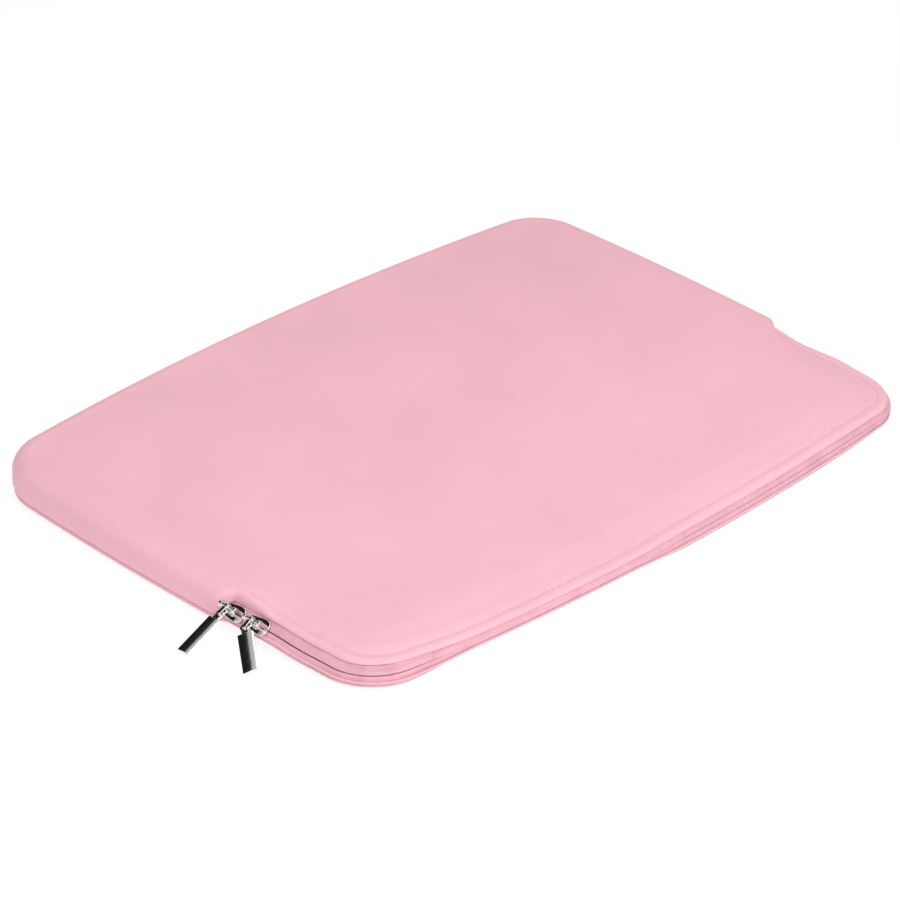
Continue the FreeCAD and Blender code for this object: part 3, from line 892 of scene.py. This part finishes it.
def make_binding():
    """Folded tape over the seam inside the lip, from the zip tape to the lining's edge."""
    run = ZipRun(3.0, 3.0)
    depth = COVER + FOAM + LINING + 2 * LAYER_GAP
    start = np.stack(run.band.at(*BINDING_START))
    middle = np.stack(run.band.at(*BINDING_MIDDLE))
    end_inset = middle[0] + BINDING_REACH
    xy = run.inside(end_inset)
    end_z = top_z(xy[:, 1]) - run.band.thinning - depth - BINDING_GAP
    end_z += slack(raised(xy, 0 * end_z))
    end = np.stack([end_inset, end_z])
    middle[1] -= BINDING_BELLY
    line = [(1 - t) ** 2 * start + 2 * t * (1 - t) * middle + t ** 2 * end
            for t in np.linspace(0, 1, 7)]
    rows = []
    for thick, order in ((0.0, line), (-BINDING, line[::-1])):
        rows += [raised(run.inside(inset), z + thick) for inset, z in order]
    piece = tube("seam_binding", rows, BINDING_WEAVE)
    finish_piece(piece, ["flap_binding"])


def groove_stitches():
    """The row of topstitching in the lip's groove."""
    run = ZipRun(STITCH_PITCH, 12.0)
    inset = run.band.lip_face()[0] + GROOVE_BEHIND
    xy = run.inside(inset)
    places = raised(xy, top_z(xy[:, 1]))
    thinning = run.band.thinning * (1 - smooth(inset, *RIM_ZONE))
    places[:, 2] += slack(places) - GROOVE_DEPTH * run.band.fade - thinning + STITCH_STAND
    along = np.stack([-run.normals[:, 1], run.normals[:, 0], 0 * run.u], 1)
    piece = stitch_row("top_stitching", places, along, THREAD)
    finish_piece(piece, [])


# ---- sliders and pulls ----
JOINTS = {j["name"]: j for j in frame["joints"]}
CROWN_HEIGHT = 7.0            # the crown's bar, out from the band
OUTER_WING = (0.35, 1.55)     # levels of the slider's two plates, out from the band
INNER_WING = (-3.15, -2.45)
WING_HALF = ((-5.5, 2.2), (-4.9, 2.75), (-2.0, 3.15), (0.6, 3.55), (2.6, 3.6), (4.2, 3.5),
             (5.1, 2.8), (5.5, 1.6))    # one side of a plate's outline: along the travel, across
POST = ((-2.65, 0.55), (1.0, 4.4), (-0.5, 0.5))  # ranges out of the band, along, up the band
FLANGE_LEVELS = (-2.65, -0.95)
FLANGE_LENGTH = (1.1, 4.4)
FLANGE = (2.95, 3.6)          # across, on each side
LUG = (3.1, 4.7)              # along the travel, at each end of the bar
LUG_HALF = 1.3
LUG_FOOT, LUG_SHOULDER = 1.45, 5.6
BAR_RADIUS, BAR_HALF = 0.72, 3.4
SPRING_LEAF = ((1.57, 2.05), (-2.9, 2.9), (-1.1, 1.1))
SPRING_TONGUE = ((1.95, 2.75), (-0.9, 0.9), (-1.1, 1.1))
KNUCKLE_RADIUS, KNUCKLE_BORE, KNUCKLE_HALF = 1.4, 0.8, 0.9
ARM = (0.8, 1.45)             # levels of the link's arms, on each side
ARM_OUTLINE = ((0.95, -0.9), (0.95, 0.9), (4.6, 0.9), (5.2, 0.62), (5.4, 0.0), (5.2, -0.62),
               (4.6, -0.9))
PIN_AT, PIN_RADIUS, PIN_HALF = 4.6, 0.6, 1.0
PULL_LENGTH = (2.7, 22.4)     # from the eye's centre
PULL_HALF_WIDTH = 3.5
PULL_EDGE = 0.26              # half thickness at the sides and at the ridge
PULL_RIDGE = 0.8
RIDGE_ASIDE = 0.8
EYE_RADIUS, EYE_BORE, EYE_HALF = 1.9, 0.68, 0.6
EYE_NECK = ((1.2, 3.2), (-1.5, 1.5), (-EYE_HALF, EYE_HALF))
RING_POINTS = 28
PULL_B_TURN = math.radians(48.0)        # how far pull B lies turned on its link


class Station:
    """A slider's own axes, read from its joints: out of the band, along the travel, up the band."""

    def __init__(self, letter):
        lift = JOINTS[f"pull_{letter}_lift"]
        turn = JOINTS[f"pull_{letter}_turn"]
        self.travel = -np.array(lift["axis"], float)
        outward = np.array([-self.travel[1], self.travel[0], 0.0])
        outward *= -np.sign(outward[0])
        self.normal = outward * math.cos(BAND_NORMAL_UP) + UP * math.sin(BAND_NORMAL_UP)
        self.up_band = UP * math.cos(BAND_NORMAL_UP) - outward * math.sin(BAND_NORMAL_UP)
        self.bar = np.array(lift["pos_m"], float) / MM
        self.pin = np.array(turn["pos_m"], float) / MM
        self.face = np.array(turn["axis"], float)
        self.point = self.bar - self.normal * CROWN_HEIGHT
        self.along = self.pin - self.bar
        self.along /= np.linalg.norm(self.along)

    def slider(self):
        return np.stack([self.normal, self.travel, self.up_band], 1), self.point

    def link(self):
        return np.stack([self.along, self.travel, self.face], 1), self.bar

    def pull(self, turn):
        x = self.along * math.cos(turn) + self.travel * math.sin(turn)
        y = self.travel * math.cos(turn) - self.along * math.sin(turn)
        return np.stack([x, y, self.face], 1), self.pin


class Metal:
    """Collects the solids of one metal piece in its own axes, then bevels them into one object."""

    def __init__(self):
        self.work = bmesh.new()

    def loop(self, points, level, axis):
        """Vertices at 2D points on the plane where the coordinate axis (0, 1 or 2) is level."""
        return [self.work.verts.new((*p[:axis], level, *p[axis:])) for p in points]

    def prism(self, points, low, high, axis):
        """A prism with an outline of 2D points, from low to high along axis."""
        bottom = self.loop(points, low, axis)
        top = self.loop(points, high, axis)
        self.work.faces.new(bottom)
        self.work.faces.new(top[::-1])
        for i in range(len(points)):
            j = (i + 1) % len(points)
            self.work.faces.new((bottom[j], bottom[i], top[i], top[j]))

    def ring(self, centre, radius, bore, half, axis):
        """A round ring of RING_POINTS sides, half as thick each way along axis."""
        outer = circle(centre, radius, RING_POINTS)
        inner = circle(centre, bore, RING_POINTS)
        loops = [self.loop(points, level, axis) for points, level in
                 ((outer, -half), (outer, half), (inner, half), (inner, -half))]
        for a, b in zip(loops, loops[1:] + loops[:1]):
            for k in range(RING_POINTS):
                j = (k + 1) % RING_POINTS
                self.work.faces.new((a[k], a[j], b[j], b[k]))

    def block(self, x, y, z):
        self.prism([(x[0], y[0]), (x[1], y[0]), (x[1], y[1]), (x[0], y[1])], z[0], z[1], 2)

    def made(self, name, axes, bevel):
        """The finished object; axes are its matrix, which may mirror it, and its origin."""
        bmesh.ops.recalc_face_normals(self.work, faces=self.work.faces)
        matrix, origin = axes
        for v in self.work.verts:
            v.co = Vector((matrix @ np.array(v.co) + origin) * MM)
        bmesh.ops.recalc_face_normals(self.work, faces=self.work.faces)
        mesh = bpy.data.meshes.new(name)
        self.work.to_mesh(mesh)
        self.work.free()
        mesh.materials.append(CHROME)
        mesh.polygons.foreach_set("use_smooth", [True] * len(mesh.polygons))
        obj = add_object(name, mesh)
        rounding = obj.modifiers.new("rounding", "BEVEL")
        rounding.width = bevel * MM
        rounding.segments = 3
        rounding.limit_method = "ANGLE"
        rounding.angle_limit = math.radians(38)
        rounding.harden_normals = True
        return obj


def both_sides(low, high):
    """The range from low to high and its mirror image."""
    return (-high, -low), (low, high)


def slider_body(name, axes):
    """Outer wing, inner wing, divider post and side flanges."""
    metal = Metal()
    wing = [*WING_HALF, *((t, -w) for t, w in reversed(WING_HALF))]
    metal.prism(wing, *OUTER_WING, 0)
    metal.prism(wing, *INNER_WING, 0)
    metal.block(*POST)
    for side in both_sides(*FLANGE):
        metal.block(FLANGE_LEVELS, FLANGE_LENGTH, side)
    return metal.made(name, axes, 0.3)


def slider_crown(name, axes):
    """Two rounded lugs with the bar between them."""
    metal = Metal()
    lug = [(LUG_FOOT, -LUG_HALF), (LUG_FOOT, LUG_HALF), (LUG_SHOULDER, LUG_HALF)]
    lug += arc_points((CROWN_HEIGHT - 0.55, 0.0), LUG_HALF, 80, -80, 9)
    lug += [(LUG_SHOULDER, -LUG_HALF)]
    for side in both_sides(*LUG):
        metal.prism(lug, *side, 1)
    metal.prism(circle((CROWN_HEIGHT, 0.0), BAR_RADIUS, 20), -BAR_HALF, BAR_HALF, 1)
    return metal.made(name, axes, 0.3)


def lock_spring(name, axes):
    """A leaf under the crown with its short tongue."""
    metal = Metal()
    metal.block(*SPRING_LEAF)
    metal.block(*SPRING_TONGUE)
    return metal.made(name, axes, 0.22)


def pull_link(name, axes):
    """Knuckle on the crown's bar, two arms and the pin between them."""
    metal = Metal()
    metal.ring((0.0, 0.0), KNUCKLE_RADIUS, KNUCKLE_BORE, KNUCKLE_HALF, 1)
    for side in both_sides(*ARM):
        metal.prism(ARM_OUTLINE, *side, 2)
    metal.prism(circle((PIN_AT, 0.0), PIN_RADIUS, 18), -PIN_HALF, PIN_HALF, 2)
    return metal.made(name, axes, 0.18)


def pull_plate(name, axes):
    """A long flat pull whose two halves slope away from a low ridge, with an eye at its top."""
    metal = Metal()
    section = [(-PULL_HALF_WIDTH, -PULL_EDGE), (RIDGE_ASIDE, -PULL_RIDGE),
               (PULL_HALF_WIDTH, -PULL_EDGE), (PULL_HALF_WIDTH, PULL_EDGE),
               (RIDGE_ASIDE, PULL_RIDGE), (-PULL_HALF_WIDTH, PULL_EDGE)]
    metal.prism(section, *PULL_LENGTH, 0)
    metal.block(*EYE_NECK)
    metal.ring((0.0, 0.0), EYE_RADIUS, EYE_BORE, EYE_HALF, 2)
    return metal.made(name, axes, 0.16)


def make_sliders():
    for letter, turn in (("a", 0.0), ("b", PULL_B_TURN)):
        station = Station(letter)
        body = f"slider_{letter}"
        link = f"link_{letter}"
        pull = f"pull_{letter}"
        made = [
            (slider_body(f"{body}_casting", station.slider()), f"{body}_body", body),
            (slider_crown(f"{body}_lugs", station.slider()), f"{body}_crown", body),
            (lock_spring(f"{body}_spring", station.slider()), f"{body}_lock_spring", body),
            (pull_link(f"{link}_shackle", station.link()), f"pull_{link}", link),
            (pull_plate(f"{pull}_plate_bar", station.pull(turn)), pull, f"{pull}_plate"),
        ]
        for piece, node, rides_on in made:
            finish_piece(piece, [node], rides_on)


def make_end_stops():
    for side in ("left", "right"):
        node = frame["nodes"][f"zip_end_stop_{side}"]
        node.data.materials.clear()
        node.data.materials.append(CHROME)


# ---- floor, light and camera, in metres ----
FLOOR_HALF = 6.0
FLOOR_Z = -0.00005            # just under the sleeve, so that their faces don't lie in one plane
FLOOR_GLOW = 0.72
WORLD_STRENGTH = 0.42
CARD_FROM = Vector((-0.18, -0.05, 0.01))  # the runners
CARD_TOWARD = Vector((0.02, 0.70, 0.71)).normalized()  # where they reflect the cards, 1 m away
CAMERA_TARGET = Vector((-0.04098, -0.03344, 0.03018))
CAMERA_AZIMUTH = math.radians(-45.751)
CAMERA_ELEVATION = math.radians(30.240)
CAMERA_ROLL = math.radians(1.074)
CAMERA_DISTANCE = 1.917
CAMERA_LENS = 181.65          # millimetres, on a sensor 36 wide


def flat_card(name, corners):
    mesh = bpy.data.meshes.new(name)
    mesh.from_pydata([tuple(c) for c in corners], [], [(0, 1, 2, 3)])
    return add_object(name, mesh)


def make_stage():
    floor = flat_card("studio_floor", [(a * FLOOR_HALF, b * FLOOR_HALF, 0)
                                       for a, b in ((-1, -1), (1, -1), (1, 1), (-1, 1))])
    floor.location.z = FLOOR_Z
    s = Shader("studio_paper")
    vector = s.place()
    s.colour(s.noise(vector, 6.0), [(0.2, (0.34,) * 3), (0.8, (0.36,) * 3)])
    s.set(roughness=0.9, specular_ior_level=0.0, emission_strength=FLOOR_GLOW,
          emission_color=(1, 1, 1, 1))
    floor.data.materials.append(s.material)


def area_light(name, place, target, size, power):
    data = bpy.data.lights.new(name, "AREA")
    data.shape = "DISK"
    data.size = size
    data.energy = power
    light = add_object(name, data)
    light.location = place
    aim = Vector(target) - Vector(place)
    light.rotation_euler = aim.to_track_quat("-Z", "Y").to_euler()


def make_lights():
    world = bpy.data.worlds.new("studio")
    bpy.context.scene.world = world
    world.use_nodes = True
    background = world.node_tree.nodes["Background"]
    background.inputs["Color"].default_value = (1, 1, 1, 1)
    background.inputs["Strength"].default_value = WORLD_STRENGTH
    area_light("overhead", (-0.02, 0.02, 1.0), (0.0, -0.02, 0), 1.2, 4.8)
    area_light("front_key", (-0.02, -0.8, 0.5), (-0.05, -0.1, 0), 0.6, 3.2)
    area_light("side_fill", (-0.95, -0.75, 0.45), (-0.1, -0.05, 0), 0.9, 4.3)
    reflection_card("black_card", 0.01, (-0.62, 0.35), (-0.45, 0.2))
    reflection_card("grey_card", 0.42, (-0.45, 0.35), (0.2, 0.44))


def reflection_card(name, colour, sides, levels):
    """A card above and behind the sleeve that only reflections see."""
    across = Vector((1, 0, 0))
    rise = across.cross(CARD_TOWARD)
    card = flat_card(name, [CARD_FROM + CARD_TOWARD + across * sides[a] + rise * levels[b]
                            for a, b in ((0, 0), (1, 0), (1, 1), (0, 1))])
    s = Shader(name)
    s.set(base_color=(colour, colour, colour, 1), roughness=1.0, specular_ior_level=0.0)
    card.data.materials.append(s.material)
    card.visible_camera = False
    card.visible_diffuse = False
    card.visible_shadow = False
    card.visible_transmission = False


def make_camera():
    level = math.cos(CAMERA_ELEVATION)
    back = Vector((math.sin(CAMERA_AZIMUTH) * level, -math.cos(CAMERA_AZIMUTH) * level,
                   math.sin(CAMERA_ELEVATION)))
    right = (-back).cross(Vector((0, 0, 1))).normalized()
    up = right.cross(-back)
    across = right * math.cos(CAMERA_ROLL) + up * math.sin(CAMERA_ROLL)
    upward = up * math.cos(CAMERA_ROLL) - right * math.sin(CAMERA_ROLL)
    data = bpy.data.cameras.new("camera")
    data.sensor_width = 36.0
    data.lens = CAMERA_LENS
    data.clip_end = 20.0
    camera = add_object("camera", data)
    turn = Matrix((across, upward, back)).transposed().to_4x4()
    camera.matrix_world = Matrix.Translation(CAMERA_TARGET + back * CAMERA_DISTANCE) @ turn
    bpy.context.scene.camera = camera


make_cloth()
make_zip()
make_binding()
groove_stitches()
make_sliders()
make_end_stops()
make_stage()
make_lights()
make_camera()
bpy.context.scene.view_settings.view_transform = "Standard"
